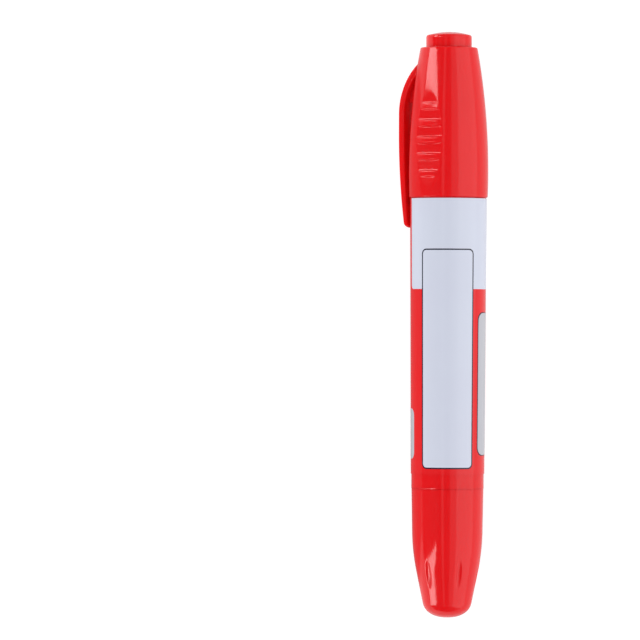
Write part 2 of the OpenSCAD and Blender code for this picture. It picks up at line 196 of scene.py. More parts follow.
class Bench:
    """The modelling steps that the pieces share."""

    MERGE = 2e-7
    SMOOTH_ANGLE = math.radians(38)

    @staticmethod
    def only(piece: bpy.types.Object | None) -> None:
        """Leaves edit mode and selects one piece alone, or nothing."""
        if bpy.context.object and bpy.context.object.mode != "OBJECT":
            bpy.ops.object.mode_set(mode="OBJECT")
        bpy.ops.object.select_all(action="DESELECT")
        if piece:
            piece.select_set(True)
            bpy.context.view_layer.objects.active = piece

    @staticmethod
    def chain(name: str, places: list[Vector]) -> bpy.types.Object:
        """Draws a chain of edges by extruding one vertex from place to place, left in edit mode.

        Args:
            name: The piece's name.
            places: Where the vertices go, in metres.

        Returns:
            The new piece, with all of it selected.
        """
        Bench.only(None)
        bpy.ops.mesh.primitive_plane_add(size=MM, location=places[0])
        piece = bpy.context.object
        piece.name = piece.data.name = name
        bpy.ops.object.transform_apply(location=True, rotation=True, scale=True)
        bpy.ops.object.mode_set(mode="EDIT")
        bpy.ops.mesh.select_mode(type="VERT")
        bpy.ops.mesh.select_all(action="SELECT")
        bpy.ops.mesh.merge(type="CENTER")
        for here, there in zip(places, places[1:]):
            bpy.ops.mesh.extrude_region_move(TRANSFORM_OT_translate={"value": there - here})
        bpy.ops.mesh.select_all(action="SELECT")
        return piece

    @staticmethod
    def close(piece: bpy.types.Object) -> bpy.types.Object:
        """Merges doubles, turns the faces outwards and leaves edit mode."""
        bpy.ops.mesh.select_all(action="SELECT")
        bpy.ops.mesh.remove_doubles(threshold=Bench.MERGE)
        bpy.ops.mesh.normals_make_consistent(inside=False)
        bpy.ops.object.mode_set(mode="OBJECT")
        return piece

    @staticmethod
    def lathe(name: str, axis: Axis, profile: Profile, steps: int = 192) -> bpy.types.Object:
        """Spins a profile about the axis.

        Args:
            name: The piece's name.
            axis: The marker's axis.
            profile: Points as (station, radius), closed on themselves or on the axis.
            steps: How many facets go round.

        Returns:
            The turned piece.
        """
        piece = Bench.chain(name, [axis.point(station, radius) for station, radius in profile])
        bpy.ops.mesh.spin(steps=steps, angle=math.tau, center=(0, axis.y, axis.z), axis=(1, 0, 0))
        return Bench.close(piece)

    @staticmethod
    def plate(
        name: str, axis: Axis, outline: Profile, angle: float, thickness: float
    ) -> bpy.types.Object:
        """Cuts a flat plate that stands out from the axis.

        Args:
            name: The piece's name.
            axis: The marker's axis.
            outline: The plate's outline as (station, radius), not closed.
            angle: The angle at which the plate stands, in degrees.
            thickness: The plate's thickness, in millimetres.

        Returns:
            The plate.
        """
        near = [axis.point(station, radius, angle, -thickness / 2) for station, radius in outline]
        piece = Bench.chain(name, near)
        bpy.ops.mesh.edge_face_add()
        across = axis.outward(angle + 90) * thickness * MM
        bpy.ops.mesh.extrude_region_move(TRANSFORM_OT_translate={"value": across})
        return Bench.close(piece)

    @staticmethod
    def select_edges(
        piece: bpy.types.Object, wanted: Callable[[Vector, Vector], bool]
    ) -> None:
        """Opens edit mode with only the edges selected whose two ends pass a test."""
        Bench.only(piece)
        bpy.ops.object.mode_set(mode="EDIT")
        bpy.ops.mesh.select_mode(type="EDGE")
        bpy.ops.mesh.select_all(action="DESELECT")
        bpy.ops.object.mode_set(mode="OBJECT")
        points = piece.data.vertices
        for edge in piece.data.edges:
            first, last = (points[i].co for i in edge.vertices)
            edge.select = wanted(first, last)
        bpy.ops.object.mode_set(mode="EDIT")

    @staticmethod
    def soften(piece: bpy.types.Object, radius: float, segments: int = 4) -> bpy.types.Object:
        """Bevels every sharp edge of a piece.

        Args:
            piece: The piece.
            radius: Width of the bevel, in millimetres.
            segments: How many facets it has.

        Returns:
            The piece.
        """
        Bench.only(piece)
        bpy.ops.object.mode_set(mode="EDIT")
        bpy.ops.mesh.select_mode(type="EDGE")
        bpy.ops.mesh.select_all(action="DESELECT")
        bpy.ops.mesh.edges_select_sharp(sharpness=Bench.SMOOTH_ANGLE)
        bpy.ops.mesh.bevel(offset=radius * MM, segments=segments, affect="EDGES")
        return Bench.close(piece)

    @staticmethod
    def press(
        piece: bpy.types.Object, label: str, depth: float, share: Callable[[Vector], float]
    ) -> bpy.types.Object:
        """Presses part of a surface inwards.

        Args:
            piece: The piece.
            label: Name of the vertex group and its modifier.
            depth: The greatest depth, in millimetres.
            share: Gives how much of that depth a vertex gets, from 0 to 1.

        Returns:
            The piece.
        """
        group = piece.vertex_groups.new(name=label)
        for vertex in piece.data.vertices:
            weight = share(vertex.co)
            if weight > 0:
                group.add([vertex.index], min(weight, 1.0), "REPLACE")
        displace = piece.modifiers.new(label, "DISPLACE")
        displace.direction = "NORMAL"
        displace.mid_level = 0
        displace.strength = -depth * MM
        displace.vertex_group = label
        Bench.apply(piece, label)
        piece.vertex_groups.clear()
        return piece

    @staticmethod
    def apply(piece: bpy.types.Object, modifier: str) -> None:
        """Applies one modifier of a piece."""
        Bench.only(piece)
        bpy.ops.object.modifier_apply(modifier=modifier)

    @staticmethod
    def unite(piece: bpy.types.Object, other: bpy.types.Object) -> bpy.types.Object:
        """Fuses another solid into a piece and removes the other."""
        boolean = piece.modifiers.new("fuse", "BOOLEAN")
        boolean.operation = "UNION"
        boolean.solver = "EXACT"
        boolean.object = other
        Bench.apply(piece, "fuse")
        bpy.data.objects.remove(other)
        return piece

    @staticmethod
    def join(piece: bpy.types.Object, others: Iterable[bpy.types.Object]) -> bpy.types.Object:
        """Joins other solids into a piece as they are."""
        Bench.only(piece)
        for other in others:
            other.select_set(True)
        bpy.ops.object.join()
        return piece

    @staticmethod
    def smooth(piece: bpy.types.Object) -> bpy.types.Object:
        """Shades a piece smooth up to its sharp edges, led by its large faces."""
        Bench.only(piece)
        bpy.ops.object.shade_smooth_by_angle(angle=Bench.SMOOTH_ANGLE)
        weighted = piece.modifiers.new("weighted", "WEIGHTED_NORMAL")
        weighted.keep_sharp = True
        Bench.apply(piece, "weighted")
        return piece


# ---------------------------------------------------------------------------------------------
# Finishes
# ---------------------------------------------------------------------------------------------


def new_group(
    name: str, inputs: dict[str, tuple[str, float | tuple[float, ...]]], outputs: dict[str, str]
) -> tuple[bpy.types.NodeTree, bpy.types.Node, bpy.types.Node]:
    """Makes an empty shader node group.

    Args:
        name: The group's name.
        inputs: Each input's socket type and starting value, by name.
        outputs: Each output's socket type, by name.

    Returns:
        The group's tree and its input and output nodes.
    """
    tree = bpy.data.node_groups.new(name, "ShaderNodeTree")
    for label, (kind, value) in inputs.items():
        socket = tree.interface.new_socket(name=label, in_out="INPUT", socket_type=kind)
        socket.default_value = value
    for label, kind in outputs.items():
        tree.interface.new_socket(name=label, in_out="OUTPUT", socket_type=kind)
    return tree, tree.nodes.new("NodeGroupInput"), tree.nodes.new("NodeGroupOutput")


def map_range(
    tree: bpy.types.NodeTree, source: bpy.types.NodeSocket, low: float, high: float
) -> bpy.types.Node:
    """Adds a node that stretches source from low and high to 0 and 1."""
    node = tree.nodes.new("ShaderNodeMapRange")
    node.interpolation_type = "SMOOTHSTEP"
    node.inputs["From Min"].default_value = low
    node.inputs["From Max"].default_value = high
    tree.links.new(source, node.inputs["Value"])
    return node


def noise(
    tree: bpy.types.NodeTree, vector: bpy.types.NodeSocket, scale: float, detail: float = 3
) -> bpy.types.Node:
    """Adds a noise texture of a scale per metre."""
    node = tree.nodes.new("ShaderNodeTexNoise")
    node.inputs["Scale"].default_value = scale
    node.inputs["Detail"].default_value = detail
    tree.links.new(vector, node.inputs["Vector"])
    return node


def stretched(
    tree: bpy.types.NodeTree, vector: bpy.types.NodeSocket, factors: tuple[float, float, float]
) -> bpy.types.NodeSocket:
    """Adds a node that scales a position along each axis."""
    node = tree.nodes.new("ShaderNodeVectorMath")
    node.operation = "MULTIPLY"
    node.inputs[1].default_value = factors
    tree.links.new(vector, node.inputs[0])
    return node.outputs["Vector"]


def arithmetic(
    tree: bpy.types.NodeTree,
    operation: str,
    first: bpy.types.NodeSocket,
    second: bpy.types.NodeSocket | float,
) -> bpy.types.NodeSocket:
    """Adds a math node on one socket and a second socket or number."""
    node = tree.nodes.new("ShaderNodeMath")
    node.operation = operation
    tree.links.new(first, node.inputs[0])
    if isinstance(second, (int, float)):
        node.inputs[1].default_value = second
    else:
        tree.links.new(second, node.inputs[1])
    return node.outputs["Value"]


class Effects:
    """The surface effects that several finishes share, each a node group made once."""

    def __init__(self) -> None:
        """Makes the three groups."""
        self.grain = self._grain()
        self.hairlines = self._hairlines()
        self.fibres = self._fibres()

    @staticmethod
    def _grain() -> bpy.types.NodeTree:
        """Cloudy unevenness and a fine grain, from the tool that moulded or printed the piece."""
        tree, given, made = new_group(
            "surface_grain",
            {"Position": ("NodeSocketVector", (0, 0, 0)), "Fineness": ("NodeSocketFloat", 900)},
            {"Cloud": "NodeSocketFloat", "Height": "NodeSocketFloat"},
        )
        cloud = noise(tree, given.outputs["Position"], 60, 2)
        fine = noise(tree, given.outputs["Position"], 900, 2)
        tree.links.new(given.outputs["Fineness"], fine.inputs["Scale"])
        spread_cloud = map_range(tree, cloud.outputs["Fac"], 0.3, 0.7)
        tree.links.new(spread_cloud.outputs["Result"], made.inputs["Cloud"])
        tree.links.new(fine.outputs["Fac"], made.inputs["Height"])
        return tree

    @staticmethod
    def _hairlines() -> bpy.types.NodeTree:
        """Sparse hairlines from handling, mostly along the marker."""
        tree, given, made = new_group(
            "handling_hairlines",
            {"Position": ("NodeSocketVector", (0, 0, 0)), "Amount": ("NodeSocketFloat", 0.5)},
            {"Mask": "NodeSocketFloat"},
        )
        along = stretched(tree, given.outputs["Position"], (60, 2600, 2600))
        lines = map_range(tree, noise(tree, along, 1, 2).outputs["Fac"], 0.66, 0.72)
        where = map_range(tree, noise(tree, given.outputs["Position"], 130, 1).outputs["Fac"], 0.5, 0.7)
        both = arithmetic(tree, "MULTIPLY", lines.outputs["Result"], where.outputs["Result"])
        scaled = arithmetic(tree, "MULTIPLY", both, given.outputs["Amount"])
        tree.links.new(scaled, made.inputs["Mask"])
        return tree

    @staticmethod
    def _fibres() -> bpy.types.NodeTree:
        """Bonded fibres that run along the marker."""
        tree, given, made = new_group(
            "bonded_fibres",
            {"Position": ("NodeSocketVector", (0, 0, 0)), "Density": ("NodeSocketFloat", 1)},
            {"Strand": "NodeSocketFloat", "Soak": "NodeSocketFloat"},
        )
        along = stretched(tree, given.outputs["Position"], (700, 9000, 9000))
        strand = noise(tree, along, 1, 3)
        tree.links.new(given.outputs["Density"], strand.inputs["Scale"])
        soak = map_range(tree, noise(tree, given.outputs["Position"], 350, 3).outputs["Fac"], 0.3, 0.7)
        spread_strand = map_range(tree, strand.outputs["Fac"], 0.3, 0.7)
        tree.links.new(spread_strand.outputs["Result"], made.inputs["Strand"])
        tree.links.new(soak.outputs["Result"], made.inputs["Soak"])
        return tree


class Recipe:
    """A material under construction: its tree, its shader and its object position."""

    def __init__(self, name: str) -> None:
        """Starts a material with a Principled shader."""
        self.material = bpy.data.materials.new(name)
        self.material.use_nodes = True
        self.tree = self.material.node_tree
        self.shader = self.tree.nodes["Principled BSDF"]
        self.position = self.tree.nodes.new("ShaderNodeTexCoord").outputs["Object"]

    def effect(self, group: bpy.types.NodeTree, **values: float) -> bpy.types.Node:
        """Places a shared effect, with its own values, on the object position."""
        node = self.tree.nodes.new("ShaderNodeGroup")
        node.node_tree = group
        self.tree.links.new(self.position, node.inputs["Position"])
        for label, value in values.items():
            node.inputs[label].default_value = value
        return node

    def blend_colour(
        self, share: bpy.types.NodeSocket, first: Colour, second: Colour
    ) -> bpy.types.NodeSocket:
        """Adds a mix of two colours by a share."""
        mix = self.tree.nodes.new("ShaderNodeMix")
        mix.data_type = "RGBA"
        mix.inputs["A"].default_value = (*first, 1)
        mix.inputs["B"].default_value = (*second, 1)
        self.tree.links.new(share, mix.inputs["Factor"])
        return mix.outputs["Result"]

    def set_colour(self, socket: bpy.types.NodeSocket) -> None:
        """Feeds the shader's colour."""
        self.tree.links.new(socket, self.shader.inputs["Base Color"])

    def set_roughness(
        self, cloud: bpy.types.NodeSocket, low: float, high: float,
        marks: bpy.types.NodeSocket | None = None,
    ) -> None:
        """Feeds the shader's roughness from a cloud, with marks added where there are any."""
        scaled = arithmetic(self.tree, "MULTIPLY_ADD", cloud, high - low)
        scaled.node.inputs[2].default_value = low
        if marks:
            scaled = arithmetic(self.tree, "ADD", scaled, marks)
        self.tree.links.new(scaled, self.shader.inputs["Roughness"])

    def set_bump(self, height: bpy.types.NodeSocket, strength: float, depth: float) -> None:
        """Feeds the shader's normal from a height, depth in millimetres."""
        bump = self.tree.nodes.new("ShaderNodeBump")
        bump.inputs["Strength"].default_value = strength
        bump.inputs["Distance"].default_value = depth * MM
        self.tree.links.new(height, bump.inputs["Height"])
        self.tree.links.new(bump.outputs["Normal"], self.shader.inputs["Normal"])


@dataclass(frozen=True)
class MouldedPlastic:
    """Injection-moulded plastic with a faint flow cloud and a few hairlines."""

    name: str
    colour: Colour
    flow_colour: Colour
    low_roughness: float = 0.08
    high_roughness: float = 0.13
    hairlines: float = 0.1
    bump: float = 0.04
    ior: float = 1.49
    glow_through: float = 0.35
    glow_depth: float = 1.6

    def build(self, effects: Effects) -> bpy.types.Material:
        """Makes the material."""
        recipe = Recipe(self.name)
        grain = recipe.effect(effects.grain, Fineness=1400)
        marks = recipe.effect(effects.hairlines, Amount=self.hairlines)
        recipe.set_colour(
            recipe.blend_colour(grain.outputs["Cloud"], self.colour, self.flow_colour)
        )
        recipe.set_roughness(
            grain.outputs["Cloud"], self.low_roughness, self.high_roughness, marks.outputs["Mask"]
        )
        recipe.set_bump(grain.outputs["Height"], self.bump, 0.02)
        recipe.shader.inputs["IOR"].default_value = self.ior
        recipe.shader.inputs["Subsurface Weight"].default_value = self.glow_through
        recipe.shader.inputs["Subsurface Radius"].default_value = (1, 0.08, 0.08)
        recipe.shader.inputs["Subsurface Scale"].default_value = self.glow_depth * MM
        return recipe.material


@dataclass(frozen=True)
class PrintedFilm:
    """Ink on glossy film, a little uneven in cover."""

    name: str
    colour: Colour
    thin_colour: Colour
    low_roughness: float = 0.12
    high_roughness: float = 0.18

    def build(self, effects: Effects) -> bpy.types.Material:
        """Makes the material."""
        recipe = Recipe(self.name)
        grain = recipe.effect(effects.grain, Fineness=5200)
        marks = recipe.effect(effects.hairlines, Amount=0.08)
        recipe.set_colour(
            recipe.blend_colour(grain.outputs["Cloud"], self.colour, self.thin_colour)
        )
        recipe.set_roughness(
            grain.outputs["Cloud"], self.low_roughness, self.high_roughness, marks.outputs["Mask"]
        )
        recipe.set_bump(grain.outputs["Height"], 0.04, 0.01)
        return recipe.material


@dataclass(frozen=True)
class InkedFibre:
    """Bonded fibre that ink has soaked."""

    name: str
    wet_colour: Colour
    dry_colour: Colour
    density: float = 1
    roughness: float = 0.75

    def build(self, effects: Effects) -> bpy.types.Material:
        """Makes the material."""
        recipe = Recipe(self.name)
        fibres = recipe.effect(effects.fibres, Density=self.density)
        share = arithmetic(
            recipe.tree, "MULTIPLY", fibres.outputs["Strand"], fibres.outputs["Soak"]
        )
        recipe.set_colour(recipe.blend_colour(share, self.wet_colour, self.dry_colour))
        recipe.set_roughness(fibres.outputs["Strand"], self.roughness - 0.15, self.roughness)
        recipe.set_bump(fibres.outputs["Strand"], 0.6, 0.04)
        return recipe.material


@dataclass(frozen=True)
class ClearWrap:
    """Clear film that lets the fibre under it show."""

    name: str
    colour: Colour
    alpha: float = 0.35

    def build(self, effects: Effects) -> bpy.types.Material:
        """Makes the material."""
        recipe = Recipe(self.name)
        grain = recipe.effect(effects.grain, Fineness=2400)
        recipe.set_colour(recipe.blend_colour(grain.outputs["Cloud"], self.colour, self.colour))
        recipe.set_roughness(grain.outputs["Cloud"], 0.1, 0.18)
        recipe.shader.inputs["Alpha"].default_value = self.alpha
        return recipe.material


class Finish(Enum):
    """The finishes of the marker's pieces."""

    RED_SHELL = MouldedPlastic("red_shell_plastic", (0.81, 0.0085, 0.0115), (0.785, 0.008, 0.0105))
    NATURAL = MouldedPlastic(
        "natural_plastic", (0.83, 0.82, 0.78), (0.8, 0.79, 0.75), 0.32, 0.42, 0.15, 0.12
    )
    RED_PRINT = PrintedFilm("red_print", (0.8, 0.009, 0.012), (0.785, 0.01, 0.0135))
    WHITE_PRINT = PrintedFilm("white_print", (0.645, 0.675, 0.78), (0.635, 0.66, 0.77))
    DARK_PRINT = PrintedFilm("dark_print", (0.012, 0.011, 0.03), (0.02, 0.018, 0.04))
    GREY_PRINT = PrintedFilm("grey_print", (0.52, 0.52, 0.56), (0.5, 0.5, 0.54))
    NIB_FIBRE = InkedFibre("nib_fibre", (0.16, 0.006, 0.01), (0.36, 0.02, 0.03), 1.6, 0.7)
    INK_FIBRE = InkedFibre("ink_fibre", (0.3, 0.006, 0.012), (0.62, 0.08, 0.1), 0.8)
    WRAP = ClearWrap("clear_wrap", (0.82, 0.78, 0.78))


class Workshop:
    """Holds the axis, the stations and the finishes, and hands each finished piece over."""

    def __init__(self, axis: Axis, stations: Stations) -> None:
        """Makes every finish once."""
        self.axis = axis
        self.at = stations
        effects = Effects()
        self.finishes = {finish: finish.value.build(effects) for finish in Finish}

    def deliver(
        self, piece: bpy.types.Object, finish: Finish, body: str, slot: str, *nodes: str
    ) -> bpy.types.Object:
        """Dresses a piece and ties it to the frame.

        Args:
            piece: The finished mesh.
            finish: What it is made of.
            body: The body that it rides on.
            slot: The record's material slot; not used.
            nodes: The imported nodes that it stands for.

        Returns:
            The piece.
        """
        Bench.only(piece)
        piece.data.materials.clear()
        piece.data.materials.append(self.finishes[finish])
        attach(piece, body)
        if nodes:
            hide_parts(*nodes)
        log.info("%s: %d faces, on %s", piece.name, len(piece.data.polygons), body)
        return piece


# ---------------------------------------------------------------------------------------------
# Cap
# ---------------------------------------------------------------------------------------------


@dataclass
class Cap:
    """The cap: its shell with the clip and the grip scoops, its top plug and its seal liner.

    Lengths are in millimetres, and the clip's angle is in degrees from straight up.
    """

    shop: Workshop
    crown_r: float = 9.505
    crown_place: float = 6.15
    top_r: float = 6.82
    lip_round: float = 0.32
    shoulder_round: float = 0.42
    bore_r: float = 8.03
    bore_length: float = 8.15
    end_wall: float = 1.6
    seat_r: float = 5.97
    seat_length: float = 6.6
    stem_hole_r: float = 4.42
    clip_angle: float = -123
    clip_reach: float = 12.12
    clip_width: float = 7
    clip_t: float = 1.6
    clip_bend_r: float = 16
    clip_bend_place: float = 15.75
    clip_level: float = 4.5
    clip_past_lip: float = 7.15
    clip_fall: float = 1.66
    clip_tip_round: float = 2.4
    clip_edge: float = 0.38
    clip_tip_in_r: float = 9.47
    clip_root_r: float = 6.15
    web_width: float = 3.2
    web_length: float = 8.6
    scoop_place: float = 13.6
    scoop_length: float = 22.6
    scoop_depth: float = 0.68
    rib_pitch: float = 4.03
    rib_width: float = 1.5
    rib_count: int = 5
    rib_edge: float = 0.52
    scoop_blend: float = 0.05
    plug_r: float = 5.47
    plug_dome: float = 0.88

    @property
    def bow_r(self) -> float:
        """Radius of the shell's bowed side."""
        half = self.shop.at.shoulder - self.shop.at.lip - self.crown_place
        return bow_radius(half, self.crown_r - self.top_r)

    def surface(self, station: float) -> float:
        """Radius of the shell's outside at a station."""
        past = station - self.shop.at.lip - self.crown_place
        return self.crown_r - self.bow_r + math.sqrt(self.bow_r**2 - past**2)

    def _shell_profile(self) -> Profile:
        """The shell's section, outside and inside, with close stations along the scoops."""
        at = self.shop.at
        ceiling = at.shoulder - self.end_wall
        scoop = at.lip + self.scoop_place
        low, high = scoop - self.scoop_length / 2 - 0.6, scoop + self.scoop_length / 2 + 0.6
        side = spread(at.lip + 1.2, low, 0.5)[:-1] + spread(low, high, 0.12)
        side += spread(high, at.shoulder - 0.9, 0.5)[1:]
        path = [(at.lip, self.bore_r + 0.2), (at.lip, self.surface(at.lip))]
        path += [(station, self.surface(station)) for station in side]
        corner = len(path)
        path += [(at.shoulder, self.surface(at.shoulder)), (at.shoulder, self.stem_hole_r)]
        hole = len(path) - 1
        path += [(ceiling, self.stem_hole_r), (ceiling, self.seat_r)]
        path += [(ceiling - self.seat_length, self.seat_r), (at.lip + self.bore_length, self.bore_r)]
        path += [(at.lip + 0.2, self.bore_r), (at.lip, self.bore_r + 0.2)]
        return rounded(path, {1: self.lip_round, corner: self.shoulder_round, hole: 0.1})

    def _scoop_share(self, place: Vector) -> float:
        """How much of the scoops' depth a place on the shell gets, from 0 to 1."""
        axis, at = self.shop.axis, self.shop.at
        station = axis.station(place)
        along = (station - at.lip - self.scoop_place) / (self.scoop_length / 2)
        radius = self.surface(min(max(station, at.lip), at.shoulder))
        if abs(along) > 1.15 or axis.radius(place) < radius - 0.3:
            return 0
        clip_side = (axis.angle(place) - self.clip_angle + 180) % 360 - 180
        aside = math.radians(abs(abs(clip_side) - 90))
        if aside > math.radians(40):
            return 0
        flat = (radius - self.scoop_depth * (1 - along**2)) / math.cos(aside)
        sunk = radius - flat
        eased = (sunk + math.hypot(sunk, self.scoop_blend)) / 2
        if eased < 0.002:
            return 0
        return (eased - 0.002) * (1 - self._rib_share(station)) / self.scoop_depth

    def _rib_share(self, station: float) -> float:
        """How much a grip rib fills the scoop at a station, from 0 to 1."""
        middle = self.shop.at.lip + self.scoop_place
        nearest = round((station - middle) / self.rib_pitch)
        limit = (self.rib_count - 1) // 2
        nearest = min(max(nearest, -limit), limit)
        off = abs(station - middle - nearest * self.rib_pitch)
        return smooth_step((self.rib_width / 2 + self.rib_edge / 2 - off) / self.rib_edge)

    def _clip(self) -> bpy.types.Object:
        """The clip's blade, rounded at its tip and along its edges."""
        axis, at = self.shop.axis, self.shop.at
        tip = at.lip - self.clip_past_lip
        bend = at.shoulder - self.clip_bend_place
        level = bend - self.clip_level
        sunk = self.clip_reach - self.clip_bend_r
        long_r = bow_radius(level - tip, self.clip_fall)

        def arc(radius: float) -> Profile:
            root = math.acos((self.clip_root_r - sunk) / radius)
            return [
                (bend + radius * math.sin(turn), sunk + radius * math.cos(turn))
                for turn in spread(root, 0, 0.035)
            ]

        outer = arc(self.clip_bend_r)
        for station in spread(level, tip, 1.1):
            drop = long_r - math.sqrt(long_r**2 - (level - station) ** 2)
            outer.append((station, self.clip_reach - drop))
        inner_r = self.clip_reach - self.clip_t
        inner = [
            (station, self.clip_tip_in_r + (inner_r - self.clip_tip_in_r)
             * math.sin(math.pi / 2 * (station - tip) / (level - tip)))
            for station in spread(tip, level, 1.1)
        ]
        outline = outer + inner + list(reversed(arc(self.clip_bend_r - self.clip_t)))
        blade = Bench.plate("clip_blade", axis, outline, self.clip_angle, self.clip_width)

        def tip_corner(first: Vector, last: Vector) -> bool:
            stations = (axis.station(first), axis.station(last))
            return max(stations) < tip + 0.01 and abs(axis.radius(first) - axis.radius(last)) > 0.3

        Bench.select_edges(blade, tip_corner)
        bpy.ops.mesh.bevel(offset=self.clip_tip_round * MM, segments=10, affect="EDGES")
        Bench.close(blade)
        return Bench.soften(blade, self.clip_edge, 5)

    def _web(self) -> bpy.types.Object:
        """The web under the clip's bend."""
        at = self.shop.at
        bend = at.shoulder - self.clip_bend_place
        sunk = self.clip_reach - self.clip_bend_r
        radius = self.clip_bend_r - self.clip_t / 2
        high = math.acos((self.clip_root_r + 0.1 - sunk) / radius)
        low = math.asin(math.sin(high) - self.web_length / radius)
        outline = [(bend + radius * math.sin(low), self.clip_root_r + 0.1)]
        outline += [
            (bend + radius * math.sin(turn), sunk + radius * math.cos(turn))
            for turn in spread(low, high, 0.04)
        ]
        web = Bench.plate("clip_web", self.shop.axis, outline, self.clip_angle, self.web_width)
        return Bench.soften(web, 0.15, 3)

    def shell(self) -> None:
        """Turns the shell, presses the grip scoops into it and fuses the clip to it."""
        shell = Bench.lathe("cap_shell_skin", self.shop.axis, self._shell_profile(), 256)
        Bench.press(shell, "scoops", self.scoop_depth, self._scoop_share)
        Bench.unite(shell, Bench.unite(self._clip(), self._web()))
        Bench.smooth(shell)
        self.shop.deliver(shell, Finish.RED_SHELL, "cap", "coloured_shell", "cap_shell")

    def plug(self) -> None:
        """Turns the domed plug with its stem and snap ridge."""
        at = self.shop.at
        dome_r = bow_radius(self.plug_r, self.plug_dome)
        dome = [
            (at.top - dome_r + math.sqrt(dome_r**2 - radius**2), radius)
            for radius in spread(0, self.plug_r - 0.25, 0.25)
        ]
        foot = at.shoulder + 0.02
        ceiling = at.shoulder - self.end_wall
        stem, ridge = self.stem_hole_r - 0.02, 0.3
        path = dome + [(at.top - self.plug_dome - 0.15, self.plug_r)]
        rim = len(path) - 1
        path += [(station, self.plug_r) for station in spread(at.top - 1.6, foot + 0.5, 0.4)]
        path += [(foot, self.plug_r), (foot, stem), (ceiling - 0.02, stem)]
        path += [(ceiling - 0.02, stem + ridge), (ceiling - 0.02 - ridge, stem + ridge)]
        path += [(ceiling - 0.02 - ridge * 2, stem), (ceiling - 0.02 - ridge * 2, 0)]
        foot_corner = path.index((foot, self.plug_r))
        profile = rounded(path, {rim: 0.85, foot_corner: 0.14})
        plug = Bench.smooth(Bench.lathe("cap_top_plug_skin", self.shop.axis, profile))
        self.shop.deliver(plug, Finish.RED_SHELL, "cap", "coloured_shell", "cap_top_plug")

    def liner(self) -> None:
        """Turns the seal liner that closes over the nib holder's collar."""
        axis = self.shop.axis
        low, high = (axis.station(corner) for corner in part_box("cap_seal_liner"))
        outer, inner = self.seat_r - 0.02, 5.05
        seat = high - self.seat_length + 0.9
        path = [(low, inner + 0.15), (low, outer - 0.1), (seat, outer - 0.1), (seat, outer)]
        path += [(high, outer), (high, 0), (high - 0.9, 0), (high - 0.9, inner)]
        path += [(low + 0.3, inner), (low, inner + 0.15)]
        profile = rounded(path, {1: 0.2, 4: 0.3, 7: 0.4})
        liner = Bench.smooth(Bench.lathe("cap_seal_liner_skin", axis, profile))
        self.shop.deliver(liner, Finish.NATURAL, "cap", "natural_plastic", "cap_seal_liner")

    def build(self) -> None:
        """Makes the cap's three pieces."""
        self.shell()
        self.plug()
        self.liner()


# ---------------------------------------------------------------------------------------------
# Barrel and its printed film
# ---------------------------------------------------------------------------------------------


@dataclass(frozen=True)
class PrintArea:
    """One plain area of the print, on the film between two stations and two angles."""

    name: str
    finish: Finish
    first: float
    last: float
    left: float
    right: float
    corner: float
    layer: int
    runs_under_cap: bool = False


